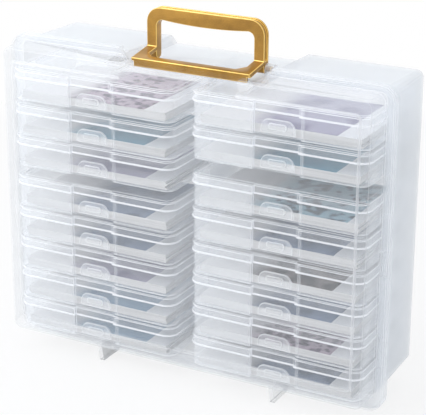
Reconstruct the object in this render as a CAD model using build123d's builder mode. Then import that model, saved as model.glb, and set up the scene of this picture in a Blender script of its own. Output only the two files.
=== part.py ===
"""Photo keeper case: a carrying case with a hinged clear cover, a folding handle that
latches it, and sixteen lidded photo boxes stacked inside in two columns.

Millimetres. X runs along the width, +Y to the back, +Z up. The origin is on the ground
under the middle of the case.
"""

from build123d import *
from math import radians, tan
import os

# ---------------------------------------------------------------- driving dimensions
# Flange, where cover and body meet
FLANGE_WIDTH = 385.0
FLANGE_HEIGHT = 299.5
FLANGE_CORNER = 15.0
FLANGE_PLATE = 2.5
RIM_WIDTH = 2.4
RIM_DEPTH = 5.0
PARTING_GAP = 0.3
FOOT_DROP = 8.0  # ground to the lowest edge of the flange

# Shells: the walls stand inside the flange edge by these steps
SIDE_STEP = 8.0
BOTTOM_STEP = 11.0
TOP_STEP = 5.1
SHELL_CORNER = 9.0
SHELL_WALL = 2.0
DRAFT = 1.6
COVER_DEPTH = 33.0
BODY_DEPTH = 85.5
FRONT_ROUND = 5.0
BACK_ROUND = 3.0

# Raised window of the cover
PANE_WIDTH = 347.2
PANE_HEIGHT = 252.3
PANE_BOTTOM = 29.0  # above the flange's lowest edge
PANE_RISE = 1.5
PANE_CORNER = 5.0
PANE_BEVEL = 1.0

# Recess for the handle, in the top of both shells
RECESS_DEPTH = 9.7  # top of the shells to the recess floor
RECESS_FLOOR_WIDTH = 132.0
RECESS_TOP_WIDTH = 146.0
RECESS_FRONT_WALL = 5.0  # wall left between the recess and the cover's front face

# Handle: grip loop and latch frame in one moulding
HANDLE_WIDTH = 118.0
HANDLE_RISE = 43.0  # pivot to the top of the grip
GRIP_DEPTH = 9.0
GRIP_BAR = 11.0
GRIP_BELLY = 2.2
GRIP_LEG = 10.0
GRIP_CORNER = 14.0
GRIP_INNER_CORNER = 6.0
GROOVE_WIDTH = 5.0
GROOVE_DEPTH = 1.6
LATCH_REACH = 32.5  # pivot to the front of the lip
LATCH_BAR = 7.5
LATCH_PLATE = 4.0
LATCH_FRONT_TOP = 2.3  # plate top above the pivot, at the lip
LATCH_REAR_TOP = 7.0  # plate top above the pivot, at the grip
LATCH_BEVEL = 7.0
LIP_THICKNESS = 3.0
LIP_INSET = 2.5
LIP_FLOOR_GAP = 1.4  # recess floor to the underside of the lip
PIVOT_BACK = 22.5  # parting plane to the handle's pivot
PIVOT_RADIUS = 2.5
PIVOT_LENGTH = 5.6
PIVOT_CLEARANCE = 0.06
GRIP_FLOOR_GAP = 2.3  # recess floor to the folded grip
LATCH_RIB_HEIGHT = 1.1  # rib on the cover that the lip snaps behind
LATCH_RIB_DEPTH = 2.4
LATCH_RIB_GAP = 0.4
CHEEK_RADIUS = 5.0
CHEEK_GAP = 0.5

# Cover hinges, one under each column of boxes
HINGE_BACK = 15.0  # parting plane to the hinge axis
PIN_RADIUS = 1.6
PIN_CHAMFER = 0.3
PIN_EYE_CLEARANCE = 0.08
PIN_EAR_CLEARANCE = 0.02
ARM_THICKNESS = 4.5
ARM_FRONT = 24.0  # parting plane to the arm's root at the front
ARM_TIP = 19.0  # parting plane to the arm's lower tip
ARM_TIP_ROUND = 2.2
EYE_RADIUS = 4.0
EAR_THICKNESS = 4.0
EAR_GAP = 0.3
EAR_SPREAD = 9.0
FLANGE_CLEARANCE = 0.7  # arm below the body's flange
FOOT_WIDTH = 10.0
FOOT_LENGTH = 16.0
FOOT_BACK_INSET = 1.5

# Inside of the body
DIVIDER = 2.0
DIVIDER_REACH = 58.0
FLOOR_RIB = 2.0
FLOOR_RIB_REACH = 80.0
FLOOR_RIB_SPREAD = 60.0
LEDGE_HEIGHT = 2.0
LEDGE_LENGTH = 40.0
LEDGE_REACH = 3.6
LEDGE_UNDER = 1.6  # how far an outer ledge reaches under its box
LEDGE_WIDE = 5.0
BOX_GAP = 0.3  # boxes to the back wall and the floor ribs
DIVIDER_GAP = 1.2

# Photo prints, 4 by 6 inches
PRINT_WIDTH = 152.4
PRINT_DEPTH = 101.6
PRINT_SIDE_GAP = 9.8  # prints to the box's inner walls, left and right
PRINT_END_GAP = 0.25  # prints to its inner walls, front and back
LEFT_STACKS = (13.5, 14.5, 13.0, 14.0, 15.0, 13.5, 14.5, 14.0)
RIGHT_STACKS = (14.5, 13.0, 14.0, 13.5, 14.5, 15.0, 14.0, 14.5)

# Photo boxes, whose width and depth follow from the prints
BOX_HEIGHT = 30.0
BOX_CORNER = 12.0
BOX_WALL = 1.2
LID_SKIRT = 9.0
LID_GAP = 0.3
LID_BORDER = 6.0
LID_PANEL_DROP = 0.8
TRAY_CHAMFER = 1.0
CATCH_WIDTH = 44.0
CATCH_DEPTH = 3.0
TONGUE_WIDTH = 33.0
TONGUE_TOP = 15.0
TONGUE_BOTTOM = 3.0
TONGUE_CORNER = 8.0
TONGUE_THICKNESS = 1.4
SNAP_WIDTH = 17.0
SNAP_HEIGHT = 5.0
SNAP_RISE = 0.8

# Gap under each box, from the bottom of a column to its top
LEFT_GAPS = (0.0, 0.4, 0.4, 0.9, 1.6, 9.2, 0.6, 3.5)
RIGHT_GAPS = (0.0, 0.4, 0.4, 0.4, 2.3, 2.4, 13.3, 2.1)
LEDGE_NEEDED = 5.0  # a box lifted by more than this sits on ledges

# ---------------------------------------------------------------- derived places
CASE_DEPTH = PANE_RISE + COVER_DEPTH + BODY_DEPTH
BACK_Y = CASE_DEPTH / 2
PARTING_Y = BACK_Y - BODY_DEPTH
FLANGE_Z = FOOT_DROP
FLANGE_MID_Z = FLANGE_Z + FLANGE_HEIGHT / 2

SHELL_WIDTH = FLANGE_WIDTH - 2 * SIDE_STEP
SHELL_BOTTOM_Z = FLANGE_Z + BOTTOM_STEP
SHELL_TOP_Z = FLANGE_Z + FLANGE_HEIGHT - TOP_STEP
SHELL_HEIGHT = SHELL_TOP_Z - SHELL_BOTTOM_Z
SHELL_MID_Z = (SHELL_TOP_Z + SHELL_BOTTOM_Z) / 2
RECESS_Z = SHELL_TOP_Z - RECESS_DEPTH
RECESS_SLOPE = (RECESS_TOP_WIDTH - RECESS_FLOOR_WIDTH) / 2 / RECESS_DEPTH

PANE_MID_Z = FLANGE_Z + PANE_BOTTOM + PANE_HEIGHT / 2
COVER_FRONT_Y = PARTING_Y - COVER_DEPTH

PIVOT_Y = PARTING_Y + PIVOT_BACK
PIVOT_Z = RECESS_Z + GRIP_FLOOR_GAP + GRIP_DEPTH / 2
LIP_Y = PIVOT_Y - LATCH_REACH
HINGE_Y = PARTING_Y + HINGE_BACK
HINGE_Z = FLANGE_Z

BODY_FLOOR_Z = SHELL_BOTTOM_Z + SHELL_WALL + BODY_DEPTH * tan(radians(DRAFT))
TRAY_INSET = BOX_WALL + LID_GAP
BOX_WIDTH = PRINT_WIDTH + 2 * (PRINT_SIDE_GAP + BOX_WALL + TRAY_INSET)
BOX_DEPTH = PRINT_DEPTH + 2 * (PRINT_END_GAP + BOX_WALL + TRAY_INSET) + CATCH_DEPTH
BOX_MID_X = DIVIDER / 2 + DIVIDER_GAP + BOX_WIDTH / 2
HINGE_X = BOX_MID_X
BOX_BACK_Y = BACK_Y - SHELL_WALL - BOX_GAP
BOX_MID_Y = BOX_BACK_Y - BOX_DEPTH / 2
BOX_OUTER_X = BOX_MID_X + BOX_WIDTH / 2
FLOOR_RIB_XS = (BOX_MID_X - FLOOR_RIB_SPREAD, BOX_MID_X + FLOOR_RIB_SPREAD)
TRAY_WIDTH = BOX_WIDTH - 2 * TRAY_INSET
TRAY_DEPTH = BOX_DEPTH - 2 * TRAY_INSET
TRAY_HEIGHT = BOX_HEIGHT - BOX_WALL - LID_PANEL_DROP


def box_bottom_z(gaps, row):
    """Underside of a box, counted from the bottom of its column."""
    return BODY_FLOOR_Z + BOX_GAP + row * BOX_HEIGHT + sum(gaps[: row + 1])


def rear_plane(y):
    """A plane across the case that faces the back, with its own Y along +Z."""
    return Plane(origin=(0, y, 0), x_dir=(-1, 0, 0), z_dir=(0, 1, 0))


def front_plane(y):
    """A plane across the case that faces the front, with its own Y along +Z."""
    return Plane(origin=(0, y, 0), x_dir=(1, 0, 0), z_dir=(0, -1, 0))


def side_plane(x):
    """A plane that faces +X, with its own X along +Y and its own Y along +Z."""
    return Plane(origin=(x, 0, 0), x_dir=(0, 1, 0), z_dir=(1, 0, 0))


def save(part, name):
    part.label = name
    export_step(part, f"parts/{name}.step")


def trapezoid(plane, half_bottom, bottom_z, half_top, top_z):
    """Upright trapezoid, centred across the case."""
    with BuildSketch(plane) as section:
        with BuildLine():
            Polyline(
                (-half_bottom, bottom_z),
                (half_bottom, bottom_z),
                (half_top, top_z),
                (-half_top, top_z),
                close=True,
            )
        make_face()
    return section.sketch


def recess_section(plane, grow=0.0, top_z=FLANGE_Z + FLANGE_HEIGHT + 5.0):
    """Section of the handle recess, or of the tub round it when grown by a wall."""
    half_floor = RECESS_FLOOR_WIDTH / 2 + grow
    bottom_z = RECESS_Z - grow
    half_top = half_floor + RECESS_SLOPE * (top_z - bottom_z)
    return trapezoid(plane, half_floor, bottom_z, half_top, top_z)


def rounded(plane, width, height, mid_z, corner):
    """Upright rounded rectangle, centred across the case."""
    with BuildSketch(plane) as section:
        with Locations((0, mid_z)):
            RectangleRounded(width, height, corner)
    return section.sketch


def shell_section(plane, shrink=0.0):
    """Outline of the shells at the parting plane, or of the hollow inside a wall."""
    width = SHELL_WIDTH - 2 * shrink
    height = SHELL_HEIGHT - 2 * shrink
    return rounded(plane, width, height, SHELL_MID_Z, SHELL_CORNER - shrink)


def flange_section(plane, inset=0.0):
    """Outline of the flange, or of the panel inside its rim."""
    width = FLANGE_WIDTH - 2 * inset
    height = FLANGE_HEIGHT - 2 * inset
    return rounded(plane, width, height, FLANGE_MID_Z, FLANGE_CORNER - inset)


def eye_arm(plane, outline, centre, radius, hole_radius):
    """Flat arm with a round eye at its end, bored for a pin."""
    with BuildSketch(plane) as section:
        with BuildLine():
            Polyline(*outline, close=True)
        make_face()
        with Locations(centre):
            Circle(radius)
            Circle(hole_radius, mode=Mode.SUBTRACT)
    return section.sketch


os.makedirs("parts", exist_ok=True)

# ---------------------------------------------------------------- front cover
COVER_PLANE = front_plane(PARTING_Y - PARTING_GAP / 2)
COVER_SHELL_DEPTH = COVER_DEPTH - PARTING_GAP / 2
RECESS_COVER_DEPTH = COVER_SHELL_DEPTH - RECESS_FRONT_WALL
COVER_PLANE_Y = COVER_PLANE.origin.Y

ARM_OUTLINE = (
    (PARTING_Y - ARM_FRONT, SHELL_BOTTOM_Z + SHELL_WALL),
    (PARTING_Y - ARM_TIP, FLANGE_Z - FOOT_DROP),
    (HINGE_Y - 2 * EYE_RADIUS, FLANGE_Z - FOOT_DROP),
    (HINGE_Y + EYE_RADIUS / 2, HINGE_Z - EYE_RADIUS * 0.86),
    (HINGE_Y - EYE_RADIUS / 2, HINGE_Z + EYE_RADIUS * 0.86),
    (HINGE_Y - 2 * EYE_RADIUS, FLANGE_Z - FLANGE_CLEARANCE),
    (COVER_PLANE_Y, FLANGE_Z - FLANGE_CLEARANCE),
    (COVER_PLANE_Y, SHELL_BOTTOM_Z + SHELL_WALL),
)

with BuildPart() as cover_hollow:
    extrude(
        shell_section(COVER_PLANE, SHELL_WALL),
        amount=COVER_SHELL_DEPTH - SHELL_WALL,
        taper=DRAFT,
    )
    # Tub of the handle recess
    extrude(
        recess_section(COVER_PLANE, SHELL_WALL),
        amount=RECESS_COVER_DEPTH + SHELL_WALL,
        mode=Mode.SUBTRACT,
    )
    # Sunk from inside behind the window, so that its wall stays even
    extrude(
        rounded(
            front_plane(COVER_FRONT_Y + SHELL_WALL),
            PANE_WIDTH - 2 * SHELL_WALL,
            PANE_HEIGHT - 2 * SHELL_WALL,
            PANE_MID_Z,
            PANE_CORNER - SHELL_WALL,
        ),
        amount=PANE_RISE,
    )

with BuildPart() as front_cover:
    extrude(shell_section(COVER_PLANE), amount=COVER_SHELL_DEPTH, taper=DRAFT)
    fillet(faces().sort_by(Axis.Y)[0].edges(), FRONT_ROUND)
    extrude(flange_section(COVER_PLANE), amount=RIM_DEPTH)
    extrude(
        flange_section(COVER_PLANE.offset(FLANGE_PLATE), RIM_WIDTH)
        - shell_section(COVER_PLANE.offset(FLANGE_PLATE), SHELL_WALL / 2),
        amount=RIM_DEPTH,
        mode=Mode.SUBTRACT,
    )

    # Raised window pane
    extrude(
        rounded(front_plane(COVER_FRONT_Y), PANE_WIDTH, PANE_HEIGHT, PANE_MID_Z, PANE_CORNER),
        amount=PANE_RISE,
    )
    chamfer(faces().sort_by(Axis.Y)[0].edges(), PANE_BEVEL)

    # Hinge arms, which are also the front feet
    for x in (-HINGE_X, HINGE_X):
        extrude(
            eye_arm(
                side_plane(x - ARM_THICKNESS / 2),
                ARM_OUTLINE,
                (HINGE_Y, HINGE_Z),
                EYE_RADIUS,
                PIN_RADIUS + PIN_EYE_CLEARANCE,
            ),
            amount=ARM_THICKNESS,
        )
    fillet(edges().filter_by(Axis.X).group_by(Axis.Z)[0].group_by(Axis.Y)[0], ARM_TIP_ROUND)

    add(cover_hollow.part, mode=Mode.SUBTRACT)
    extrude(recess_section(COVER_PLANE), amount=RECESS_COVER_DEPTH, mode=Mode.SUBTRACT)

    # Rib on the recess floor, behind the handle's lip
    with BuildSketch(Plane.XY.offset(RECESS_Z - SHELL_WALL / 2)):
        with Locations((0, LIP_Y + LIP_THICKNESS + LATCH_RIB_GAP + LATCH_RIB_DEPTH / 2)):
            Rectangle(HANDLE_WIDTH - 2 * LIP_INSET, LATCH_RIB_DEPTH)
    extrude(amount=SHELL_WALL / 2 + LATCH_RIB_HEIGHT)
save(front_cover.part, "front_cover")

# ---------------------------------------------------------------- rear body
BODY_PLANE = rear_plane(PARTING_Y + PARTING_GAP / 2)
BODY_SHELL_DEPTH = BODY_DEPTH - PARTING_GAP / 2
CHEEK_INNER_X = HANDLE_WIDTH / 2 + CHEEK_GAP
CHEEK_OUTER_X = RECESS_FLOOR_WIDTH / 2 + SHELL_WALL
EAR_OUTLINE = (
    (HINGE_Y - EAR_SPREAD, SHELL_BOTTOM_Z + SHELL_WALL / 2),
    (HINGE_Y - EYE_RADIUS, HINGE_Z),
    (HINGE_Y + EYE_RADIUS, HINGE_Z),
    (HINGE_Y + EAR_SPREAD, SHELL_BOTTOM_Z + SHELL_WALL / 2),
    (HINGE_Y + EAR_SPREAD, SHELL_BOTTOM_Z + SHELL_WALL),
    (HINGE_Y - EAR_SPREAD, SHELL_BOTTOM_Z + SHELL_WALL),
)
EAR_OFFSETS = (-ARM_THICKNESS / 2 - EAR_GAP - EAR_THICKNESS, ARM_THICKNESS / 2 + EAR_GAP)
FOOT_MID_Y = BACK_Y - FOOT_BACK_INSET - FOOT_LENGTH / 2

with BuildPart() as body_hollow:
    extrude(
        shell_section(BODY_PLANE, SHELL_WALL),
        amount=BODY_SHELL_DEPTH - SHELL_WALL,
        taper=DRAFT,
    )
    # Tub of the handle recess
    extrude(recess_section(BODY_PLANE, SHELL_WALL), amount=BODY_DEPTH, mode=Mode.SUBTRACT)
    # Divider between the two columns of boxes
    with BuildSketch(Plane.XY):
        with Locations((0, BACK_Y)):
            Rectangle(DIVIDER, 2 * DIVIDER_REACH)
    extrude(amount=SHELL_TOP_Z, mode=Mode.SUBTRACT)
    # Level ribs on the drafted floor
    with BuildSketch(Plane.XY):
        with Locations(*[(side * x, BACK_Y) for side in (-1, 1) for x in FLOOR_RIB_XS]):
            Rectangle(FLOOR_RIB, 2 * FLOOR_RIB_REACH)
    extrude(amount=BODY_FLOOR_Z, mode=Mode.SUBTRACT)
    # Ledges under the boxes that sit higher
    for side, gaps in ((-1, LEFT_GAPS), (1, RIGHT_GAPS)):
        for row, gap in enumerate(gaps):
            if gap > LEDGE_NEEDED:
                ledge_z = box_bottom_z(gaps, row) - BOX_GAP - LEDGE_HEIGHT
                with BuildSketch(Plane.XY.offset(ledge_z)):
                    with Locations(
                        (side * (DIVIDER / 2 + LEDGE_REACH - LEDGE_WIDE / 2), BACK_Y),
                        (side * (BOX_OUTER_X - LEDGE_UNDER + LEDGE_WIDE / 2), BACK_Y),
                    ):
                        Rectangle(LEDGE_WIDE, 2 * LEDGE_LENGTH)
                extrude(amount=LEDGE_HEIGHT, mode=Mode.SUBTRACT)

with BuildPart() as case_body:
    extrude(shell_section(BODY_PLANE), amount=BODY_SHELL_DEPTH, taper=DRAFT)
    fillet(faces().sort_by(Axis.Y)[-1].edges(), BACK_ROUND)
    extrude(flange_section(BODY_PLANE), amount=RIM_DEPTH)
    extrude(
        flange_section(BODY_PLANE.offset(FLANGE_PLATE), RIM_WIDTH)
        - shell_section(BODY_PLANE.offset(FLANGE_PLATE), SHELL_WALL / 2),
        amount=RIM_DEPTH,
        mode=Mode.SUBTRACT,
    )

    # Hinge ears and rear feet under the floor
    for x in (-HINGE_X, HINGE_X):
        for ear in EAR_OFFSETS:
            extrude(
                eye_arm(
                    side_plane(x + ear),
                    EAR_OUTLINE,
                    (HINGE_Y, HINGE_Z),
                    EYE_RADIUS,
                    PIN_RADIUS + PIN_EAR_CLEARANCE,
                ),
                amount=EAR_THICKNESS,
            )
        with BuildSketch(Plane.XY):
            with Locations((x, FOOT_MID_Y)):
                RectangleRounded(FOOT_WIDTH, FOOT_LENGTH, FOOT_WIDTH / 4)
        extrude(amount=BODY_FLOOR_Z - SHELL_WALL / 2)

    add(body_hollow.part, mode=Mode.SUBTRACT)
    extrude(recess_section(BODY_PLANE), amount=BODY_DEPTH, mode=Mode.SUBTRACT)

    # Cheeks in the recess that carry the handle
    for side in (-1, 1):
        start_x = min(side * CHEEK_INNER_X, side * CHEEK_OUTER_X)
        with BuildSketch(side_plane(start_x)):
            with Locations((PIVOT_Y, PIVOT_Z)):
                Circle(CHEEK_RADIUS)
            with Locations((PIVOT_Y, (PIVOT_Z + RECESS_Z - SHELL_WALL / 2) / 2)):
                Rectangle(2 * CHEEK_RADIUS, PIVOT_Z - RECESS_Z + SHELL_WALL / 2)
        extrude(amount=CHEEK_OUTER_X - CHEEK_INNER_X)
        hole_x = side * (CHEEK_INNER_X + PIVOT_LENGTH)
        with BuildSketch(side_plane(min(hole_x, side * CHEEK_INNER_X))):
            with Locations((PIVOT_Y, PIVOT_Z)):
                Circle(PIVOT_RADIUS + PIVOT_CLEARANCE)
        extrude(amount=PIVOT_LENGTH, mode=Mode.SUBTRACT)
save(case_body.part, "case_body")

# ---------------------------------------------------------------- hinge pins
PIN_LENGTH = ARM_THICKNESS + 2 * (EAR_GAP + EAR_THICKNESS)
for x, pin_name in ((-HINGE_X, "hinge_pin_left"), (HINGE_X, "hinge_pin_right")):
    with BuildPart() as hinge_pin:
        with BuildSketch(side_plane(x - PIN_LENGTH / 2)):
            with Locations((HINGE_Y, HINGE_Z)):
                Circle(PIN_RADIUS)
        extrude(amount=PIN_LENGTH)
        chamfer(edges().filter_by(GeomType.CIRCLE), PIN_CHAMFER)
    save(hinge_pin.part, pin_name)

# ---------------------------------------------------------------- handle
GRIP_FRONT_Y = PIVOT_Y - GRIP_DEPTH / 2
GRIP_FOOT_Z = PIVOT_Z - GRIP_DEPTH / 2
GRIP_TOP_Z = PIVOT_Z + HANDLE_RISE
LIP_TOP_Z = PIVOT_Z + LATCH_FRONT_TOP
LATCH_TOP_Z = PIVOT_Z + LATCH_REAR_TOP
LIP_FOOT_Z = RECESS_Z + LIP_FLOOR_GAP


def arch_section(plane, half_width, foot_z, top_z, corner):
    """Upright panel with its two upper corners rounded."""
    with BuildSketch(plane) as section:
        with Locations((0, (foot_z + top_z) / 2)):
            Rectangle(2 * half_width, top_z - foot_z)
        fillet(vertices().group_by(Axis.Y)[-1], corner)
    return section.sketch


def belly_section(plane):
    """Swell under the middle of the grip bar."""
    bar_foot_z = GRIP_TOP_Z - GRIP_BAR
    half_width = HANDLE_WIDTH / 2 - GRIP_LEG - GRIP_INNER_CORNER
    with BuildSketch(plane) as section:
        with BuildLine():
            ThreePointArc(
                (-half_width, bar_foot_z), (0, bar_foot_z - GRIP_BELLY), (half_width, bar_foot_z)
            )
            Line((half_width, bar_foot_z), (-half_width, bar_foot_z))
        make_face()
    return section.sketch


with BuildPart() as carry_handle:
    GRIP_PLANE = front_plane(PIVOT_Y + GRIP_DEPTH / 2)
    GROOVE_PLANE = front_plane(PIVOT_Y + GROOVE_WIDTH / 2)
    half = HANDLE_WIDTH / 2
    extrude(
        arch_section(GRIP_PLANE, half, GRIP_FOOT_Z, GRIP_TOP_Z, GRIP_CORNER)
        - arch_section(
            GRIP_PLANE,
            half - GRIP_LEG,
            GRIP_FOOT_Z - 1,
            GRIP_TOP_Z - GRIP_BAR,
            GRIP_INNER_CORNER,
        )
        + belly_section(GRIP_PLANE),
        amount=GRIP_DEPTH,
    )
    # Groove round the outside of the grip, between two rims
    extrude(
        arch_section(GROOVE_PLANE, half + 1, PIVOT_Z + LATCH_REAR_TOP, GRIP_TOP_Z + 1, GRIP_CORNER)
        - arch_section(
            GROOVE_PLANE,
            half - GROOVE_DEPTH,
            GRIP_FOOT_Z,
            GRIP_TOP_Z - GROOVE_DEPTH,
            GRIP_CORNER - GROOVE_DEPTH,
        ),
        amount=GROOVE_WIDTH,
        mode=Mode.SUBTRACT,
    )
    # Rounded feet of the legs, concentric with the pivots
    fillet(
        edges().filter_by(Axis.X).group_by(Axis.Z)[0],
        GRIP_DEPTH / 2 - 0.1,
    )
    # Latch frame, seen from the side
    with BuildSketch(side_plane(-half)):
        with BuildLine():
            Polyline(
                (PIVOT_Y, LATCH_TOP_Z),
                (GRIP_FRONT_Y, LATCH_TOP_Z),
                (LIP_Y, LIP_TOP_Z),
                (LIP_Y, LIP_FOOT_Z),
                (LIP_Y + LIP_THICKNESS, LIP_FOOT_Z),
                (LIP_Y + LIP_THICKNESS, LIP_TOP_Z - LATCH_PLATE),
                (GRIP_FRONT_Y, LATCH_TOP_Z - LATCH_PLATE),
                (PIVOT_Y, LATCH_TOP_Z - LATCH_PLATE),
                close=True,
            )
        make_face()
    extrude(amount=HANDLE_WIDTH)
    # Opening of the frame, bevelled at its front corners
    opening = half - GRIP_LEG
    with BuildSketch(Plane.XY.offset(LIP_FOOT_Z - 1)):
        with BuildLine():
            Polyline(
                (-opening, PIVOT_Y + 1),
                (-opening, LIP_Y + LATCH_BAR + LATCH_BEVEL),
                (-opening + LATCH_BEVEL, LIP_Y + LATCH_BAR),
                (opening - LATCH_BEVEL, LIP_Y + LATCH_BAR),
                (opening, LIP_Y + LATCH_BAR + LATCH_BEVEL),
                (opening, PIVOT_Y + 1),
                close=True,
            )
        make_face()
    extrude(amount=LATCH_TOP_Z - LIP_FOOT_Z + 2, mode=Mode.SUBTRACT)
    # The lip stops short of the frame's ends
    with BuildSketch(side_plane(-half)):
        with Locations((LIP_Y + LIP_THICKNESS / 2, LIP_FOOT_Z)):
            Rectangle(LIP_THICKNESS, 2 * (LIP_TOP_Z - LATCH_PLATE * 0.7 - LIP_FOOT_Z))
    lip_end = extrude(amount=LIP_INSET, mode=Mode.SUBTRACT)
    mirror(lip_end, about=Plane.YZ, mode=Mode.SUBTRACT)
    # Pivots
    for side in (-1, 1):
        with BuildSketch(side_plane(min(side * half, side * (half + PIVOT_LENGTH)))):
            with Locations((PIVOT_Y, PIVOT_Z)):
                Circle(PIVOT_RADIUS)
        extrude(amount=PIVOT_LENGTH)
save(carry_handle.part, "carry_handle")


# ---------------------------------------------------------------- photo boxes
def box_outline(plane, width, depth, corner, catch_width, catch_depth):
    """Rounded rectangle with the notch for the catch in its front."""
    with BuildSketch(plane) as section:
        RectangleRounded(width, depth, corner)
        with Locations((0, -depth / 2)):
            Rectangle(catch_width, 2 * catch_depth, mode=Mode.SUBTRACT)
    return section.sketch


LID_PLANE = Plane.XY.offset(BOX_HEIGHT - LID_SKIRT)
with BuildPart() as lid:
    extrude(
        box_outline(LID_PLANE, BOX_WIDTH, BOX_DEPTH, BOX_CORNER, CATCH_WIDTH, CATCH_DEPTH),
        amount=LID_SKIRT,
    )
    extrude(
        box_outline(
            LID_PLANE,
            BOX_WIDTH - 2 * BOX_WALL,
            BOX_DEPTH - 2 * BOX_WALL,
            BOX_CORNER - BOX_WALL,
            CATCH_WIDTH + 2 * BOX_WALL,
            CATCH_DEPTH,
        ),
        amount=LID_SKIRT - BOX_WALL - LID_PANEL_DROP,
        mode=Mode.SUBTRACT,
    )
    with BuildSketch(Plane.XY.offset(BOX_HEIGHT)):
        RectangleRounded(
            BOX_WIDTH - 2 * LID_BORDER, BOX_DEPTH - 2 * LID_BORDER, BOX_CORNER - LID_BORDER
        )
    extrude(amount=-LID_PANEL_DROP, mode=Mode.SUBTRACT)

CATCH_FACE_Y = -TRAY_DEPTH / 2 + CATCH_DEPTH
with BuildPart() as tray:
    extrude(
        box_outline(
            Plane.XY,
            TRAY_WIDTH,
            TRAY_DEPTH,
            BOX_CORNER - TRAY_INSET,
            CATCH_WIDTH + 2 * TRAY_INSET,
            CATCH_DEPTH,
        ),
        amount=TRAY_HEIGHT,
    )
    chamfer(faces().sort_by(Axis.Z)[0].edges(), TRAY_CHAMFER)
    extrude(
        box_outline(
            Plane.XY.offset(BOX_WALL),
            TRAY_WIDTH - 2 * BOX_WALL,
            TRAY_DEPTH - 2 * BOX_WALL,
            BOX_CORNER - TRAY_INSET - BOX_WALL,
            CATCH_WIDTH + 2 * TRAY_INSET + 2 * BOX_WALL,
            CATCH_DEPTH,
        ),
        amount=TRAY_HEIGHT,
        mode=Mode.SUBTRACT,
    )
    extrude(
        arch_section(
            front_plane(CATCH_FACE_Y), TONGUE_WIDTH / 2, TONGUE_BOTTOM, TONGUE_TOP, TONGUE_CORNER
        ),
        amount=TONGUE_THICKNESS,
    )
    with BuildSketch(front_plane(CATCH_FACE_Y - TONGUE_THICKNESS)):
        with Locations((0, (TONGUE_BOTTOM + TONGUE_TOP) / 2)):
            RectangleRounded(SNAP_WIDTH, SNAP_HEIGHT, SNAP_HEIGHT / 3)
    extrude(amount=SNAP_RISE)

PRINT_MID_Y = CATCH_DEPTH / 2
for side, side_name, gaps, stacks in (
    (-1, "left", LEFT_GAPS, LEFT_STACKS),
    (1, "right", RIGHT_GAPS, RIGHT_STACKS),
):
    for row, stack in enumerate(stacks):
        place = Location((side * BOX_MID_X, BOX_MID_Y, box_bottom_z(gaps, row)))
        label = f"{side_name}_{row + 1}"
        with BuildPart() as prints:
            with BuildSketch(Plane.XY.offset(BOX_WALL)):
                with Locations((0, PRINT_MID_Y)):
                    Rectangle(PRINT_WIDTH, PRINT_DEPTH)
            extrude(amount=stack)
        save(tray.part.moved(place), f"tray_{label}")
        save(lid.part.moved(place), f"lid_{label}")
        save(prints.part.moved(place), f"prints_{label}")
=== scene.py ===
# %% [markdown]
# # A photo keeper case, dressed
#
# The case is a pair of thin mouldings in translucent polypropylene: a clearer cover in front
# and a deeper body behind, hinged at the bottom. Sixteen lidded boxes stand inside in two
# columns, each with a stack of photo prints. The mechanical model is loaded first and keeps
# every size. This script adds softened edges, uneven stacks of prints, finishes, a stage and
# light.

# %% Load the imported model
import math
import random

import bpy
from mathutils import Matrix, Vector


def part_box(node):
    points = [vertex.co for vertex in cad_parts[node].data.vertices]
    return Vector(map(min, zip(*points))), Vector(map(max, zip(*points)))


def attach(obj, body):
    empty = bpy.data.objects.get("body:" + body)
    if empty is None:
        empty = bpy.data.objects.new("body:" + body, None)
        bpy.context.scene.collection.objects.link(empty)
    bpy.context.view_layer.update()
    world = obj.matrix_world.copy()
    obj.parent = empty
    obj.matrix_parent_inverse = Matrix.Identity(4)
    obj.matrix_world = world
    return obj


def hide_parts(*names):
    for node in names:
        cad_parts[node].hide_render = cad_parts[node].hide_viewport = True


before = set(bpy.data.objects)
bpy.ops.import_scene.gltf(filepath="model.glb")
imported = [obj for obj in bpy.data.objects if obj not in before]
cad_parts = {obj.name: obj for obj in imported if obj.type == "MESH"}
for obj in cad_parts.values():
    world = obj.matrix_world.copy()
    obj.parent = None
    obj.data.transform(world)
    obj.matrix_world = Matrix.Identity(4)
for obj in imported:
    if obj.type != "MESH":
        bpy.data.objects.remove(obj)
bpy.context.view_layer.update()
scene = bpy.context.scene
MM = 0.001
SIDES = ("left", "right")
ROWS = range(1, 9)

# %% [markdown]
# ## Camera
#
# A long lens from a little above keeps the upright edges nearly parallel, as for a catalogue.
# It stands off to the right. The camera is turned by three plain rotations: round the upright
# axis, down towards the case, and a trace of roll about its own line of sight.

# %% Camera
CAMERA_PLACE = Vector((0.6434, -1.1848, 0.6610))
CAMERA_AZIMUTH = math.radians(28.306)
CAMERA_ELEVATION = math.radians(20.440)
CAMERA_ROLL = math.radians(0.269)
LENS_MM = 131.84

camera_data = bpy.data.cameras.new("long_lens")
camera_data.lens = LENS_MM
camera_data.sensor_width = 36.0
camera_data.sensor_fit = "HORIZONTAL"
camera_data.clip_start = 0.05
camera = bpy.data.objects.new("camera", camera_data)
scene.collection.objects.link(camera)
camera.matrix_world = (
    Matrix.Translation(CAMERA_PLACE)
    @ Matrix.Rotation(CAMERA_AZIMUTH, 4, "Z")
    @ Matrix.Rotation(math.pi / 2 - CAMERA_ELEVATION, 4, "X")
    @ Matrix.Rotation(CAMERA_ROLL, 4, "Z")
)
scene.camera = camera
scene.view_settings.view_transform = "Standard"
print("camera stands", round(CAMERA_PLACE.length, 3), "m from the case's foot")

# %% [markdown]
# ## Helpers for shader trees
#
# Every finish below is a small tree of shader nodes. A few helpers keep the trees readable:
# one makes an empty material, one adds a node with its values, and three add a sum, a share
# of a range and a mix of two colours. Each of those takes sockets or plain numbers and gives
# back the socket with the result, so that they can be written like a formula.


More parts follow.
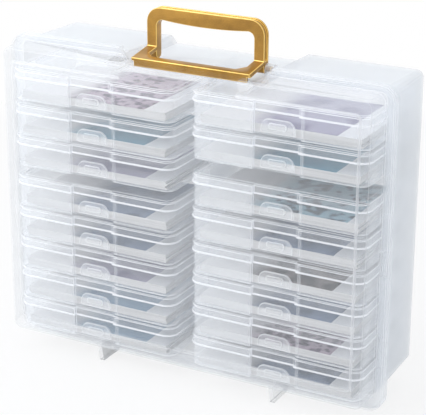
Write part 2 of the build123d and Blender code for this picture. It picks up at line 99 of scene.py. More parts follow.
# %% Materials and nodes
def new_material(name):
    """An empty node material with its output in place."""
    material = bpy.data.materials.new(name)
    material.use_nodes = True
    material.node_tree.nodes.clear()
    output = material.node_tree.nodes.new("ShaderNodeOutputMaterial")
    return material, material.node_tree, output


def add_node(tree, kind, **values):
    """A node with the given settings and input values, by name."""
    node = tree.nodes.new(kind)
    for key, value in values.items():
        if hasattr(node, key):
            setattr(node, key, value)
        else:
            node.inputs[key.replace("_", " ")].default_value = value
    return node


def feed(tree, value, socket):
    """Link a socket to an input, or write a plain value into it."""
    if isinstance(value, bpy.types.NodeSocket):
        tree.links.new(value, socket)
    else:
        socket.default_value = value


print("helpers: new_material, add_node, feed")


# %% Sums, shares and mixes
def maths(tree, operation, a, b=None, clamp=False):
    """A math node fed by sockets or plain numbers; gives its output socket."""
    node = tree.nodes.new("ShaderNodeMath")
    node.operation = operation
    node.use_clamp = clamp
    for socket, value in zip(node.inputs, (a, b)):
        if value is not None:
            feed(tree, value, socket)
    return node.outputs[0]


def share_of(tree, value, low, high):
    """How far a value has come from low to high, from 0 to 1."""
    node = add_node(tree, "ShaderNodeMapRange", From_Min=low, From_Max=high)
    tree.links.new(value, node.inputs["Value"])
    return node.outputs[0]


def mixed(tree, factor, first, second):
    """Mix of two colours, each a socket or three numbers; gives its output socket."""
    node = tree.nodes.new("ShaderNodeMix")
    node.data_type = "RGBA"
    tree.links.new(factor, node.inputs["Factor"])
    for socket, value in zip((node.inputs[6], node.inputs[7]), (first, second)):
        feed(tree, (*value, 1) if isinstance(value, tuple) else value, socket)
    return node.outputs[2]


print("helpers: maths, share_of, mixed")

# %% [markdown]
# ## A white room
#
# The background is a plain white for rays that come straight from the camera or off a shiny
# face, so the case is seen against white and mirrors white. All other rays meet a grey-white
# sky at a lower level, which fills the shade without washing out the colours.


# %% World
SKY_LEVEL = 0.7
SKY_TINT = (0.93, 0.96, 1.0, 1)
WHITE = (1, 1, 1, 1)


def seen_plainly(tree):
    """1 for rays that should meet the plain white surroundings."""
    path = tree.nodes.new("ShaderNodeLightPath")
    glossy = maths(tree, "MAXIMUM", path.outputs["Is Camera Ray"], path.outputs["Is Glossy Ray"])
    return maths(tree, "MAXIMUM", glossy, path.outputs["Is Transmission Ray"])


world = bpy.data.worlds.new("white_room")
scene.world = world
world.use_nodes = True
world_tree = world.node_tree
world_tree.nodes.clear()
sky = add_node(world_tree, "ShaderNodeBackground", Color=SKY_TINT, Strength=SKY_LEVEL)
white = add_node(world_tree, "ShaderNodeBackground", Color=WHITE, Strength=1.0)
world_mix = world_tree.nodes.new("ShaderNodeMixShader")
world_output = world_tree.nodes.new("ShaderNodeOutputWorld")
world_tree.links.new(seen_plainly(world_tree), world_mix.inputs[0])
world_tree.links.new(sky.outputs[0], world_mix.inputs[1])
world_tree.links.new(white.outputs[0], world_mix.inputs[2])
world_tree.links.new(world_mix.outputs[0], world_output.inputs[0])
print("sky level:", SKY_LEVEL)

# %% [markdown]
# ## Floor
#
# The case stands on a large pale floor. The floor is a diffuse surface, so it keeps the soft
# shadow at the feet, with plain white mixed in for the same rays as above. Further out the
# share of white rises to one, so that the floor runs into the background with no edge.

# %% Floor
FLOOR_HALF = 6.0
FLOOR_PAINT = (0.92, 0.92, 0.93, 1)
FLOOR_WHITE_SHARE = 0.80
FADE_START = 0.42
FADE_LENGTH = 0.5

bpy.ops.object.select_all(action="DESELECT")
bpy.ops.mesh.primitive_plane_add(size=2 * FLOOR_HALF, location=(0, 0, 0))
floor = bpy.context.object
floor.name = "floor"
floor_material, floor_tree, floor_output = new_material("pale_floor")
floor_paint = add_node(floor_tree, "ShaderNodeBsdfDiffuse", Color=FLOOR_PAINT)
floor_white = add_node(floor_tree, "ShaderNodeEmission", Color=WHITE, Strength=1.0)
floor_mix = floor_tree.nodes.new("ShaderNodeMixShader")
floor_place = floor_tree.nodes.new("ShaderNodeTexCoord")
floor_reach = add_node(floor_tree, "ShaderNodeVectorMath", operation="LENGTH")
floor_tree.links.new(floor_place.outputs["Object"], floor_reach.inputs[0])
beyond = maths(floor_tree, "SUBTRACT", floor_reach.outputs["Value"], FADE_START)
fade = maths(floor_tree, "DIVIDE", beyond, FADE_LENGTH, clamp=True)
white_share = maths(floor_tree, "MAXIMUM", fade, FLOOR_WHITE_SHARE)
plain_share = maths(floor_tree, "MULTIPLY", seen_plainly(floor_tree), white_share)
floor_tree.links.new(plain_share, floor_mix.inputs[0])
floor_tree.links.new(floor_paint.outputs[0], floor_mix.inputs[1])
floor_tree.links.new(floor_white.outputs[0], floor_mix.inputs[2])
floor_tree.links.new(floor_mix.outputs[0], floor_output.inputs[0])
floor.data.materials.append(floor_material)
print("floor:", 2 * FLOOR_HALF, "m wide")

# %% [markdown]
# ## Soft boxes
#
# Four large square lamps light the case: one above, a key from the upper left, one in front
# and a weak bluish one on the right. Translucent walls need many see-through steps for each
# ray, because every wall has two skins and the eye looks through several boxes.

# %% Lamps
PLAIN_LIGHT = (1, 1, 1)
COOL_LIGHT = (0.93, 0.96, 1.0)
CASE_MIDDLE = Vector((0, 0, 0.16))
# name, place in metres, width in metres, watts, tint
SOFT_BOXES = (
    ("top_box", (-0.3, 0.0, 1.9), 1.6, 4.6, PLAIN_LIGHT),
    ("key_box", (-0.85, -0.7, 1.7), 0.8, 6, PLAIN_LIGHT),
    ("front_box", (-1.0, -1.2, 0.9), 1.0, 7, PLAIN_LIGHT),
    ("side_box", (1.9, 0.1, 0.7), 1.2, 1.6, COOL_LIGHT),
)

for name, place, width, watts, tint in SOFT_BOXES:
    lamp = bpy.data.lights.new(name, "AREA")
    lamp.shape = "SQUARE"
    lamp.size = width
    lamp.energy = watts
    lamp.color = tint
    lamp_object = bpy.data.objects.new(name, lamp)
    scene.collection.objects.link(lamp_object)
    lamp_object.location = place
    direction = CASE_MIDDLE - Vector(place)
    lamp_object.rotation_euler = direction.to_track_quat("-Z", "Y").to_euler()
scene.cycles.transparent_max_bounces = 64
scene.cycles.diffuse_bounces = 8
print("lamps:", [name for name, *_ in SOFT_BOXES])

# %% [markdown]
# ## Softened mouldings
#
# No moulded edge is perfectly sharp, and on clear plastic it is the rounded edge that draws
# the shape: it catches the light and looks whiter than the wall. The loose triangles of a
# mechanical part are joined into faces on a copy, and a bevel rounds the edges. The bevel puts
# its new faces in a material slot of their own, so the edges can carry a painted highlight: a
# whiter, denser finish that stands in for the light they catch. The copy then stands in for
# the part.


# %% Joined and softened copies
PLAIN, EDGE, DENSE = 0, 1, 2
JOIN_DISTANCE = 0.01 * MM
FLAT_ANGLE = math.radians(0.6)
BEVEL_ANGLE = math.radians(35)
SMOOTH_ANGLE = math.radians(20)


def joined_copy(node_name, name):
    """A copy of a mechanical part's mesh, with its triangles joined into faces."""
    piece = bpy.data.objects.new(name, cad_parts[node_name].data.copy())
    piece.data.name = name
    scene.collection.objects.link(piece)
    bpy.ops.object.select_all(action="DESELECT")
    bpy.context.view_layer.objects.active = piece
    piece.select_set(True)
    bpy.ops.object.mode_set(mode="EDIT")
    bpy.ops.mesh.select_all(action="SELECT")
    bpy.ops.mesh.remove_doubles(threshold=JOIN_DISTANCE)
    bpy.ops.mesh.dissolve_limited(angle_limit=FLAT_ANGLE)
    bpy.ops.object.mode_set(mode="OBJECT")
    return piece


def soften(piece, width, segments=2):
    """Round the sharp edges of the active piece by a bevel in the EDGE slot, and smooth it."""
    while len(piece.data.materials) <= EDGE:
        piece.data.materials.append(None)
    bevel = piece.modifiers.new("soft_edges", "BEVEL")
    bevel.material = EDGE
    bevel.width = width
    bevel.segments = segments
    bevel.limit_method = "ANGLE"
    bevel.angle_limit = BEVEL_ANGLE
    bevel.use_clamp_overlap = False
    bpy.ops.object.modifier_apply(modifier=bevel.name)
    bpy.ops.object.shade_smooth_by_angle(angle=SMOOTH_ANGLE)
    print(piece.name, len(piece.data.polygons), "faces")


# %% Body, cover and handle
SHELL_SOFTNESS = 0.5 * MM
HANDLE_SOFTNESS = 0.6 * MM

body_moulding = joined_copy("case_body", "body_moulding")
soften(body_moulding, SHELL_SOFTNESS)
cover_moulding = joined_copy("front_cover", "cover_moulding")
soften(cover_moulding, SHELL_SOFTNESS)
handle_moulding = joined_copy("carry_handle", "handle_moulding")
soften(handle_moulding, HANDLE_SOFTNESS, 3)

# %% [markdown]
# ## Trays and lids
#
# A photo box is a tray with a thumb tongue in its front notch, and a lid whose skirt ends in a
# small bead that stiffens it. On the first tray the tongue's face is inset and sunk, which
# leaves a rim round it. On the first lid the skirt is cut with a bisect just above its lower
# edge, and the band below is inset and pushed out to form the bead. The faces to work on are
# picked by where they lie and where they look.

# %% Where things are on the first box
FIRST = f"{SIDES[0]}_{ROWS[0]}"
first_low, first_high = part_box(f"lid_{FIRST}")
CAD_MIDDLE = (first_low + first_high) / 2
BOX_FRONT_Y = first_low.y
NOTCH_DEPTH = 3 * MM
NOTCH_FACE_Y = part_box(f"tray_{FIRST}")[0].y + NOTCH_DEPTH
TONGUE_REACH = 17.5 * MM  # half the tongue's width and a little more
TONGUE_THICKNESS = 1.4 * MM
TONGUE_RIM = 1.2 * MM
TONGUE_SINK = 0.5 * MM
BEAD_HEIGHT = 1.6 * MM
BEAD_RISE = 0.35 * MM
BEAD_SLOPE = 0.05 * MM
BOX_SOFTNESS = 0.35 * MM
NEAR = 0.1 * MM
UPRIGHT = 0.1  # largest Z of an upright face's normal


def on_tongue(middle):
    """Whether a face of the first tray belongs to the tongue in its notch."""
    return abs(middle.x - CAD_MIDDLE.x) < TONGUE_REACH and middle.y < NOTCH_FACE_Y - NEAR


def on_tongue_front(middle, normal):
    """Whether a face is the flat front of the first tray's tongue."""
    depth = NOTCH_FACE_Y - TONGUE_THICKNESS - middle.y
    return on_tongue(middle) and normal.y < -0.9 and abs(depth) < NEAR


def on_skirt_foot(middle, normal):
    """Whether a face is on the outside of the first lid's skirt, at its lower edge."""
    outward = middle - CAD_MIDDLE
    outward.z = 0
    low = middle.z < first_low.z + BEAD_HEIGHT
    return low and abs(normal.z) < UPRIGHT and normal.dot(outward) > 0


print("tongue face at y =", round(NOTCH_FACE_Y - TONGUE_THICKNESS, 5))


# %% The first tray and the first lid
def select_faces(piece, wanted):
    """Select the faces that pass a test, and leave the piece in edit mode."""
    bpy.ops.object.mode_set(mode="EDIT")
    bpy.ops.mesh.select_all(action="DESELECT")
    bpy.ops.object.mode_set(mode="OBJECT")
    for face in piece.data.polygons:
        face.select = wanted(face.center, face.normal)
    bpy.ops.object.mode_set(mode="EDIT")
    bpy.ops.mesh.select_mode(type="FACE")


tray_pattern = joined_copy(f"tray_{FIRST}", f"tray_moulding_{FIRST}")
select_faces(tray_pattern, on_tongue_front)
bpy.ops.mesh.inset(thickness=TONGUE_RIM, depth=-TONGUE_SINK)
bpy.ops.object.mode_set(mode="OBJECT")
soften(tray_pattern, BOX_SOFTNESS)
for face in tray_pattern.data.polygons:
    if face.material_index == PLAIN and on_tongue(face.center):
        face.material_index = DENSE

lid_pattern = joined_copy(f"lid_{FIRST}", f"lid_moulding_{FIRST}")
bpy.ops.object.mode_set(mode="EDIT")
bpy.ops.mesh.select_all(action="SELECT")
bpy.ops.mesh.bisect(plane_co=(0, 0, first_low.z + BEAD_HEIGHT), plane_no=(0, 0, 1))
bpy.ops.object.mode_set(mode="OBJECT")
select_faces(lid_pattern, on_skirt_foot)
bpy.ops.mesh.inset(thickness=BEAD_SLOPE, depth=BEAD_RISE)
bpy.ops.object.mode_set(mode="OBJECT")
soften(lid_pattern, BOX_SOFTNESS)
# The bead's faces take the whiter edge finish, a painted highlight line.
for face in lid_pattern.data.polygons:
    if on_skirt_foot(face.center, face.normal):
        face.material_index = EDGE

# %% [markdown]
# ## The other boxes
#
# All sixteen boxes come from the same two moulds, so the first tray and lid are copied, each
# copy with its own mesh and its place inside the mesh. The patterns are first drawn in a little
# from the mechanical boxes' width and set at the middle of their column, which leaves the wide
# band between the two columns.

# %% Sixteen trays and sixteen lids
BOX_MID_X = 93.7 * MM
BOX_WIDTH = 171 * MM


def shifted_copy(pattern, name, shift):
    """A copy of a finished piece with its own mesh, moved within the mesh."""
    copy = pattern.copy()
    copy.data = pattern.data.copy()
    copy.name = copy.data.name = name
    copy.data.transform(Matrix.Translation(shift))
    scene.collection.objects.link(copy)
    return copy


narrowing = (
    Matrix.Translation((-BOX_MID_X, 0, 0))
    @ Matrix.Scale(BOX_WIDTH / (first_high.x - first_low.x), 4, (1, 0, 0))
    @ Matrix.Translation((-CAD_MIDDLE.x, 0, 0))
)
box_parts = {f"tray_{FIRST}": tray_pattern, f"lid_{FIRST}": lid_pattern}
for kind in ("tray", "lid"):
    pattern = box_parts[f"{kind}_{FIRST}"]
    pattern.data.transform(narrowing)
    for side in SIDES:
        for row in ROWS:
            node = f"{kind}_{side}_{row}"
            if node not in box_parts:
                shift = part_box(node)[0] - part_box(f"{kind}_{FIRST}")[0]
                shift.x = 0 if side == SIDES[0] else 2 * BOX_MID_X
                name = f"{kind}_moulding_{side}_{row}"
                box_parts[node] = shifted_copy(pattern, name, shift)
print("box parts:", len(box_parts))

# %% [markdown]
# ## Stacks of prints
#
# A stack of prints is never quite square: a few sheets at a time sit a little to one side. Each
# stack is built from slabs of a few sheets, each slab a box that is scaled in edit mode and
# pushed sideways by a seeded amount, within the play that the tray leaves.

# %% Slabs of prints
SLABS = 4
SIDE_PLAY = 1.2 * MM
PRINT_SHARE = 0.54  # filled part of the height that the stack may take
shuffle = random.Random(7)


def print_stack(label):
    """The stack of prints in one tray, as slabs that don't quite line up."""
    low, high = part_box(f"prints_{label}")
    high.z = low.z + PRINT_SHARE * (high.z - low.z)
    slab_height = (high.z - low.z) / SLABS
    slabs = []
    for slab in range(SLABS):
        bpy.ops.object.select_all(action="DESELECT")
        bpy.ops.mesh.primitive_cube_add(size=1)
        piece = bpy.context.object
        middle = (low + high) / 2
        middle.z = low.z + (slab + 0.5) * slab_height
        play = shuffle.uniform(-SIDE_PLAY, SIDE_PLAY)
        middle.x = math.copysign(BOX_MID_X, middle.x) + play
        bpy.ops.object.mode_set(mode="EDIT")
        bpy.ops.transform.resize(value=(high.x - low.x, high.y - low.y, slab_height))
        bpy.ops.object.mode_set(mode="OBJECT")
        piece.data.transform(Matrix.Translation(middle))
        slabs.append(piece)
    for piece in slabs:
        piece.select_set(True)
    bpy.context.view_layer.objects.active = slabs[0]
    bpy.ops.object.join()
    stack = bpy.context.object
    stack.name = stack.data.name = f"print_stack_{label}"
    return stack


labels = [f"{side}_{row}" for side in SIDES for row in ROWS]
stacks = {label: print_stack(label) for label in labels}
print("stacks:", len(stacks))

# %% [markdown]
# ## Node groups
#
# An effect that several finishes share is built once, as a group of nodes with named inputs
# and outputs, and each finish then places the group with values of its own. The helper below
# makes a group from a table of inputs: a number makes a number socket, and three numbers make
# a colour socket.


# %% Helpers for groups
def new_group(name, inputs, output, kind="NodeSocketFloat"):
    """An empty group with named inputs and one output; gives it with its two end nodes."""
    group = bpy.data.node_groups.new(name, "ShaderNodeTree")
    for socket_name, value in inputs.items():
        colour = isinstance(value, tuple)
        socket_kind = "NodeSocketColor" if colour else "NodeSocketFloat"
        socket = group.interface.new_socket(
            socket_name, in_out="INPUT", socket_type=socket_kind
        )
        socket.default_value = (*value, 1) if colour else value
    group.interface.new_socket(output, in_out="OUTPUT", socket_type=kind)
    ends = group.nodes.new("NodeGroupInput"), group.nodes.new("NodeGroupOutput")
    return group, ends[0].outputs, ends[1].inputs[output]


def place_group(tree, group, **values):
    """Place a group in a tree with its inputs filled by name; gives its output socket."""
    node = tree.nodes.new("ShaderNodeGroup")
    node.node_tree = group
    for key, value in values.items():
        value = (*value, 1) if isinstance(value, tuple) else value
        feed(tree, value, node.inputs[key.replace("_", " ")])
    return node.outputs[0]


def placed(tree):
    """Object coordinates as separate X, Y and Z sockets."""
    coordinates = tree.nodes.new("ShaderNodeTexCoord")
    separate = tree.nodes.new("ShaderNodeSeparateXYZ")
    tree.links.new(coordinates.outputs["Object"], separate.inputs[0])
    return separate.outputs


def object_noise(tree, scale, detail, stretch=(1, 1, 1)):
    """Noise on object coordinates, stretched along the axes; gives its 0 to 1 factor."""
    coordinates = tree.nodes.new("ShaderNodeTexCoord")
    mapping = add_node(tree, "ShaderNodeMapping", Scale=stretch)
    noise = add_node(tree, "ShaderNodeTexNoise", Detail=detail)
    tree.links.new(coordinates.outputs["Object"], mapping.inputs["Vector"])
    tree.links.new(mapping.outputs[0], noise.inputs["Vector"])
    feed(tree, scale, noise.inputs["Scale"])
    return noise.outputs["Fac"]


print("helpers: new_group, place_group, placed, object_noise")

# %% [markdown]
# ## Grain, smears and clouding
#
# Moulded polypropylene is never quite even. The polished steel of the mould leaves a very fine
# grain, which a Bump node turns into tiny slopes. Handling smears the gloss a little. And the
# resin freezes with faint cloudy flow marks, which change how dense the milk in it looks.

# %% Groups for the surface of a moulding
grain_group, grain_in, grain_out = new_group("mould_grain", {"Grain Scale": 900.0}, "Height")
grain_group.links.new(object_noise(grain_group, grain_in["Grain Scale"], 2.0), grain_out)

smear_group, smear_in, smear_out = new_group(
    "gloss_smears", {"Roughness": 0.3, "Spread": 0.1}, "Roughness"
)
smear = maths(smear_group, "SUBTRACT", object_noise(smear_group, 26.0, 3.0), 0.5)
smear = maths(smear_group, "MULTIPLY", smear, smear_in["Spread"])
smear = maths(smear_group, "ADD", smear_in["Roughness"], smear, clamp=True)
smear_group.links.new(smear, smear_out)

cloud_group, cloud_in, cloud_out = new_group("flow_clouding", {"Amount": 0.3}, "Thickness")
cloud = maths(cloud_group, "SUBTRACT", object_noise(cloud_group, 9.0, 2.0, (1, 1, 2.4)), 0.5)
cloud = maths(cloud_group, "MULTIPLY", cloud, cloud_in["Amount"])
cloud_group.links.new(maths(cloud_group, "ADD", cloud, 1.0), cloud_out)
print("groups:", grain_group.name, smear_group.name, cloud_group.name)

# %% [markdown]
# ## How milky a skin looks
#
# Each wall is a real wall with an outer and an inner skin. Every skin lets most of the light
# through and turns a small share of it milky, which is what Alpha does here. Seen flat on, the
# wall is clearest. Seen along its length, the eye looks through far more plastic, so the alpha
# rises with the facing value. Light that passes through real polypropylene is scattered
# forward more than it is stopped, so the skins count for less towards shadow rays. Two masks
# can make places milkier or clearer.

# %% Group for the alpha of a skin
SHADOW_RELIEF = 0.93
SLANT_POWER = 2.2

skin_group, skin_in, skin_out = new_group(
    "milky_skin",
    {
        "Facing": 0.0,
        "Face Alpha": 0.1,
        "Edge Alpha": 0.5,
        "Thickness": 1.0,
        "Frost Mask": 0.0,
        "Frost Alpha": 0.0,
        "Clear Mask": 0.0,
        "Shadow Ray": 0.0,
    },
    "Alpha",
)
slant = maths(skin_group, "POWER", skin_in["Facing"], SLANT_POWER)
span = maths(skin_group, "SUBTRACT", skin_in["Edge Alpha"], skin_in["Face Alpha"])
milk = maths(skin_group, "MULTIPLY", slant, span)
milk = maths(skin_group, "ADD", milk, skin_in["Face Alpha"])
milk = maths(skin_group, "MULTIPLY", milk, skin_in["Thickness"])
frost = maths(skin_group, "MULTIPLY", skin_in["Frost Mask"], skin_in["Frost Alpha"])
milk = maths(skin_group, "MAXIMUM", milk, frost)
kept = maths(skin_group, "SUBTRACT", 1.0, skin_in["Clear Mask"])
milk = maths(skin_group, "MULTIPLY", milk, kept)
relief = maths(skin_group, "MULTIPLY", skin_in["Shadow Ray"], SHADOW_RELIEF)
shaded = maths(skin_group, "SUBTRACT", 1.0, relief)
skin_group.links.new(maths(skin_group, "MULTIPLY", milk, shaded, clamp=True), skin_out)
print("groups:", skin_group.name)

# %% [markdown]
# ## Milky left places and a clear window
#
# The left part of a box's front, up to the notch for the tongue, is made a little milkier
# than the rest. The cover is polished clear where it lies right over the latch. Each place is
# a mask made from object coordinates.

# %% Groups for the two masks
NOTCH_HALF = 22 * MM
MILKY_LEFT_FADE = 3 * MM
FRONT_DEPTH = 4 * MM
LATCH_HALF = 58 * MM
LATCH_LOW = 284 * MM
LATCH_CLEARING = 0.85


def across_box(tree, x):
    """Distance from the middle of a box's column, along X."""
    column = maths(tree, "MULTIPLY", maths(tree, "SIGN", x), BOX_MID_X)
    return maths(tree, "SUBTRACT", x, column)


milky_left_group, milky_left_in, milky_left_out = new_group("milky_left_place", {"Fade": MILKY_LEFT_FADE}, "Mask")
x, y, z = placed(milky_left_group)
short = maths(milky_left_group, "SUBTRACT", -NOTCH_HALF, across_box(milky_left_group, x))
left = maths(milky_left_group, "DIVIDE", short, milky_left_in["Fade"], clamp=True)
front = maths(milky_left_group, "LESS_THAN", y, BOX_FRONT_Y + FRONT_DEPTH)
milky_left_group.links.new(maths(milky_left_group, "MULTIPLY", left, front), milky_left_out)

window_group, window_in, window_out = new_group(
    "latch_window", {"Clearing": LATCH_CLEARING}, "Mask"
)
x, y, z = placed(window_group)
near = maths(window_group, "LESS_THAN", maths(window_group, "ABSOLUTE", x), LATCH_HALF)
high = maths(window_group, "GREATER_THAN", z, LATCH_LOW)
window = maths(window_group, "MULTIPLY", near, high)
window = maths(window_group, "MULTIPLY", window, window_in["Clearing"])
window_group.links.new(window, window_out)
print("groups:", milky_left_group.name, window_group.name)

# %% [markdown]
# ## Translucent polypropylene
#
# With the groups in place, a translucent plastic is a Principled shader whose Alpha comes from
# the skin group. The boxes stand in the shade of the case, so the inner plastics get a slight
# emission, a painted glow that stands in for the light that would wander along real walls. The
# edges get a denser, whiter finish that is a painted highlight, and the arms that carry the case
# are denser still, with a grey that is painted shade.


# %% A maker for the translucent plastics
# The glow tint and strength are painted light: emission that lifts the shade on the inner plastics.
PAINTED_GLOW_TINT = (0.9, 0.93, 1.0, 1)
PAINTED_INNER_GLOW = 0.085
GRAIN_STRENGTH = 0.02
GRAIN_DEPTH = 0.2 * MM


def grainy(tree, shader, roughness, strength=GRAIN_STRENGTH):
    """Give a shader the mould's grain and smeared gloss."""
    bump = add_node(tree, "ShaderNodeBump", Strength=strength, Distance=GRAIN_DEPTH)
    tree.links.new(place_group(tree, grain_group), bump.inputs["Height"])
    tree.links.new(bump.outputs[0], shader.inputs["Normal"])
    gloss = place_group(tree, smear_group, Roughness=roughness)
    tree.links.new(gloss, shader.inputs["Roughness"])


def translucent(name, tint, face, edge, roughness, painted_glow=0, frost=0, clear=False):
    """Milky moulded plastic; the glow is painted emission that lifts shade, frost is the alpha of the
    milky left places, clear opens the window.
    """
    material, tree, output = new_material(name)
    shader = add_node(
        tree,
        "ShaderNodeBsdfPrincipled",
        Base_Color=(*tint, 1),
        IOR=1.49,
        Emission_Color=PAINTED_GLOW_TINT,
        Emission_Strength=painted_glow,
    )
    grainy(tree, shader, roughness)
    alpha = place_group(
        tree,
        skin_group,
        Facing=add_node(tree, "ShaderNodeLayerWeight", Blend=0.5).outputs["Facing"],
        Face_Alpha=face,
        Edge_Alpha=edge,
        Thickness=place_group(tree, cloud_group),
        Frost_Mask=place_group(tree, milky_left_group) if frost else 0,
        Frost_Alpha=frost,
        Clear_Mask=place_group(tree, window_group) if clear else 0,
        Shadow_Ray=tree.nodes.new("ShaderNodeLightPath").outputs["Is Shadow Ray"],
    )
    tree.links.new(alpha, shader.inputs["Alpha"])
    tree.links.new(shader.outputs[0], output.inputs[0])
    return material


# %% The translucent plastics
MILKY_WHITE = (0.90, 0.93, 0.96)
CLEAR_WHITE = (0.93, 0.95, 0.97)
# The bright white below is a painted highlight for the rounded edges.
HIGHLIGHT_PAINT_WHITE = (0.95, 0.96, 0.98)
# The arm grey below is painted shade on the hinge arms.
ARM_PAINTED_SHADE = (0.52, 0.53, 0.54)

# name, tint, alpha flat on, alpha along the wall, roughness
body_plastic = translucent("body_milky_plastic", MILKY_WHITE, 0.26, 0.7, 0.32)
cover_plastic = translucent("cover_clear_plastic", CLEAR_WHITE, 0.07, 0.45, 0.16, clear=True)
# The arms' grey is painted shade; their high alpha stands for dense plastic.
arm_shade_paint = translucent("arm_dense_painted_shade", ARM_PAINTED_SHADE, 0.55, 0.9, 0.3)
tray_plastic = translucent(
    "tray_thin_plastic", CLEAR_WHITE, 0.05, 0.5, 0.22, PAINTED_INNER_GLOW, frost=0.26
)
tongue_plastic = translucent("tongue_milky_plastic", CLEAR_WHITE, 0.28, 0.85, 0.2, PAINTED_INNER_GLOW)
lid_plastic = translucent("lid_thin_plastic", CLEAR_WHITE, 0.06, 0.35, 0.22, PAINTED_INNER_GLOW)
# The two edge finishes are painted highlights: whiter, denser plastic on the rounded edges.
edge_highlight_paint = translucent("edge_painted_highlight", HIGHLIGHT_PAINT_WHITE, 0.7, 0.9, 0.15, PAINTED_INNER_GLOW)
shell_highlight_paint = translucent("shell_painted_highlight", HIGHLIGHT_PAINT_WHITE, 0.35, 0.7, 0.15, clear=True)
print("plastics:", body_plastic.name, cover_plastic.name, tray_plastic.name, lid_plastic.name)

# %% [markdown]
# ## Pearl gold handle and wire pins
#
# The handle is moulded in a pearl gold plastic: flakes in the resin make it part metallic, with
# a thin glossy skin. Fine noise stands for the flakes and coarse noise for the patches in which
# they gather. Its edges get a brighter and more metallic tone, a painted highlight that stands
# in for the light they catch. The hinge pins are bright drawn wire, with scratches along the
# draw.

# %% Handle
FLAKE_SHARE = 0.35

flake_group, flake_in, flake_out = new_group(
    "pearl_flakes", {"Deep": (0.3, 0.15, 0.02), "Light": (0.5, 0.3, 0.05)}, "Color", "NodeSocketColor"
)
flakes = maths(flake_group, "MULTIPLY", object_noise(flake_group, 2600.0, 1.0), FLAKE_SHARE)
patches = maths(flake_group, "MULTIPLY", object_noise(flake_group, 45.0, 2.0), 1 - FLAKE_SHARE)
blend = share_of(flake_group, maths(flake_group, "ADD", flakes, patches), 0.32, 0.68)
flake_colour = mixed(flake_group, blend, flake_in["Deep"], flake_in["Light"])
flake_group.links.new(flake_colour, flake_out)


def pearl_gold(name, metallic, deep, light):
    """Pearl gold plastic with flakes and a glossy skin."""
    material, tree, output = new_material(name)
    shader = add_node(
        tree,
        "ShaderNodeBsdfPrincipled",
        Metallic=metallic,
        Coat_Weight=0.3,
        Coat_Roughness=0.12,
    )
    grainy(tree, shader, 0.34, 0.05)
    colour = place_group(tree, flake_group, Deep=deep, Light=light)
    tree.links.new(colour, shader.inputs["Base Color"])
    tree.links.new(shader.outputs[0], output.inputs[0])
    return material


handle_plastic = pearl_gold("handle_pearl_gold", 0.45, (0.27, 0.13, 0.012), (0.55, 0.29, 0.04))
# The edge finish is a painted highlight: brighter, more metallic gold on the bevel faces.
handle_highlight_paint = pearl_gold("handle_painted_highlight", 0.8, (0.85, 0.55, 0.14), (0.95, 0.68, 0.22))
print("handle:", handle_plastic.name, handle_highlight_paint.name)

# %% Pins
STEEL = (0.62, 0.63, 0.65, 1)
pin_steel, pin_tree, pin_output = new_material("pin_drawn_wire")
pin_shader = add_node(pin_tree, "ShaderNodeBsdfPrincipled", Base_Color=STEEL, Metallic=1.0)
scratches = maths(pin_tree, "MULTIPLY", object_noise(pin_tree, 900.0, 2.0, (0.05, 1, 1)), 0.25)
pin_tree.links.new(maths(pin_tree, "ADD", scratches, 0.18), pin_shader.inputs["Roughness"])
pin_tree.links.new(pin_shader.outputs[0], pin_output.inputs[0])
print("pins:", pin_steel.name)

# %% [markdown]
# ## Photo paper
#
# The prints are coated paper: white cut edges in fine layers, and the picture on the top sheet.
# The pictures are generic, soft blotches of cells and noise between a deep and a light tone,
# with a plain margin at the right and a fade into a plain one at the left. Which faces are the
# top comes from the normal, so one finish serves the whole stack.

# %% Group for a sheet with its picture
PICTURE_LEFT = 34 * MM
PICTURE_FADE = 20 * MM
MARGIN_LEFT = (0.74, 0.73, 0.74)
MARGIN_RIGHT = (0.80, 0.81, 0.83)
EDGE_DEEP = (0.58, 0.575, 0.57)
EDGE_LIGHT = (0.68, 0.675, 0.67)

sheet_group, sheet_in, sheet_out = new_group(
    "printed_sheet",
    {"Deep": (0.1, 0.1, 0.1), "Light": (0.5, 0.5, 0.5), "Cell Scale": 40.0, "Right End": 0.054},
    "Color",
    "NodeSocketColor",
)
petals = add_node(sheet_group, "ShaderNodeTexVoronoi", feature="SMOOTH_F1")
petal_place = sheet_group.nodes.new("ShaderNodeTexCoord")
sheet_group.links.new(petal_place.outputs["Object"], petals.inputs["Vector"])
sheet_group.links.new(sheet_in["Cell Scale"], petals.inputs["Scale"])
blotch_scale = maths(sheet_group, "MULTIPLY", sheet_in["Cell Scale"], 0.6)
blotches = object_noise(sheet_group, blotch_scale, 3.0)
mottle = maths(sheet_group, "ADD", petals.outputs["Distance"], blotches)
tone = share_of(sheet_group, mottle, 0.74, 0.98)
picture = mixed(sheet_group, tone, sheet_in["Deep"], sheet_in["Light"])

across = across_box(sheet_group, placed(sheet_group)[0])
inside = maths(sheet_group, "ADD", across, PICTURE_LEFT)
from_left = maths(sheet_group, "DIVIDE", inside, PICTURE_FADE, clamp=True)
before_right = maths(sheet_group, "LESS_THAN", across, sheet_in["Right End"])
picture = mixed(sheet_group, from_left, MARGIN_LEFT, picture)
picture = mixed(sheet_group, before_right, MARGIN_RIGHT, picture)

layers = share_of(sheet_group, object_noise(sheet_group, 500.0, 1.0, (0.02, 0.02, 1)), 0.35, 0.6)
cut_edge = mixed(sheet_group, layers, EDGE_DEEP, EDGE_LIGHT)
geometry = sheet_group.nodes.new("ShaderNodeNewGeometry")
looks = sheet_group.nodes.new("ShaderNodeSeparateXYZ")
sheet_group.links.new(geometry.outputs["Normal"], looks.inputs[0])
top = maths(sheet_group, "GREATER_THAN", looks.outputs["Z"], 0.7)
sheet_group.links.new(mixed(sheet_group, top, cut_edge, picture), sheet_out)
print("groups:", sheet_group.name)


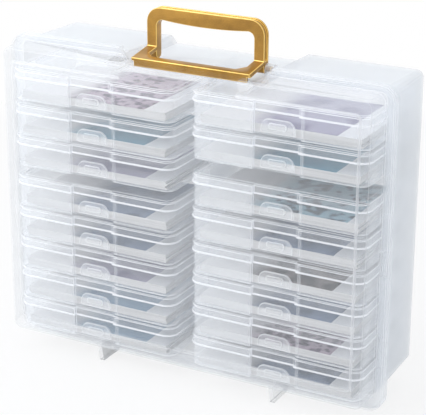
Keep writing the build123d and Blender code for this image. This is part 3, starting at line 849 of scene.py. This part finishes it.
# %% Seven pictures
def print_paper(name, deep, light, cell_scale, right_end=54 * MM):
    """Coated photo paper with a generic picture between two tones."""
    material, tree, output = new_material(name)
    shader = add_node(tree, "ShaderNodeBsdfPrincipled", Roughness=0.35)
    colour = place_group(
        tree, sheet_group, Deep=deep, Light=light, Cell_Scale=cell_scale, Right_End=right_end
    )
    tree.links.new(colour, shader.inputs["Base Color"])
    tree.links.new(shader.outputs[0], output.inputs[0])
    return material


# deep tone, light tone, cells per metre, right end
PICTURES = {
    "teal": ((0.01, 0.14, 0.24), (0.04, 0.24, 0.36), 30.0),
    "sky": ((0.07, 0.19, 0.33), (0.18, 0.32, 0.46), 30.0),
    "slate": ((0.03, 0.07, 0.15), (0.14, 0.21, 0.34), 45.0),
    "mauve": ((0.06, 0.03, 0.07), (0.42, 0.33, 0.41), 150.0),
    "lilac": ((0.15, 0.13, 0.25), (0.34, 0.32, 0.45), 40.0),
    "umber": ((0.02, 0.015, 0.02), (0.20, 0.165, 0.155), 60.0),
    "floral": ((0.001, 0.03, 0.06), (0.24, 0.42, 0.52), 110.0, 66 * MM),
}
# from the bottom box to the top one
PRINT_ROWS = {
    "left": ("sky", "sky", "lilac", "slate", "slate", "lilac", "teal", "mauve"),
    "right": ("slate", "mauve", "slate", "umber", "slate", "floral", "teal", "lilac"),
}
papers = {name: print_paper(f"paper_{name}", *values) for name, values in PICTURES.items()}
print("papers:", sorted(papers))

# %% [markdown]
# ## Dressing the pieces
#
# Every piece gets its finishes, one for each material slot: the wall, the rounded edges, and
# the tongue or the arms. Then each piece stands in for its mechanical part and rides on that
# part's body, so that it moves with the cover or the handle.


# %% Dress the pieces
ARM_TOP = 7.5 * MM


def dress(piece, *materials):
    """Give a piece its finishes, one for each slot, and keep which face has which."""
    slots = piece.data.materials
    while len(slots) < len(materials):
        slots.append(None)
    for slot, material in enumerate(materials):
        slots[slot] = material


def stand_in(piece, node_name, body):
    """Put a finished piece in a mechanical part's place, on its body."""
    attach(piece, body)
    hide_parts(node_name)


# The arm faces below ARM_TOP take the arm finish, whose grey is painted shade.
for face in cover_moulding.data.polygons:
    if face.center.z < ARM_TOP:
        face.material_index = DENSE
# The rounded shell edges take the painted highlight finish.
dress(body_moulding, body_plastic, shell_highlight_paint)
dress(cover_moulding, cover_plastic, shell_highlight_paint, arm_shade_paint)
# The handle's edge slot takes the painted highlight finish.
dress(handle_moulding, handle_plastic, handle_highlight_paint)
stand_in(body_moulding, "case_body", "case")
stand_in(cover_moulding, "front_cover", "cover")
stand_in(handle_moulding, "carry_handle", "handle")
for side in SIDES:
    dress(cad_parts[f"hinge_pin_{side}"], pin_steel)
    for row in ROWS:
        label = f"{side}_{row}"
        tray, lid, stack = box_parts[f"tray_{label}"], box_parts[f"lid_{label}"], stacks[label]
        # The tray and lid edges take the painted highlight finish.
        dress(tray, tray_plastic, edge_highlight_paint, tongue_plastic)
        dress(lid, lid_plastic, edge_highlight_paint)
        dress(stack, papers[PRINT_ROWS[side][row - 1]])
        stand_in(tray, f"tray_{label}", "case")
        stand_in(lid, f"lid_{label}", "case")
        stand_in(stack, f"prints_{label}", "case")
print("dressed:", 3 + len(box_parts) + len(stacks), "pieces and 2 pins")
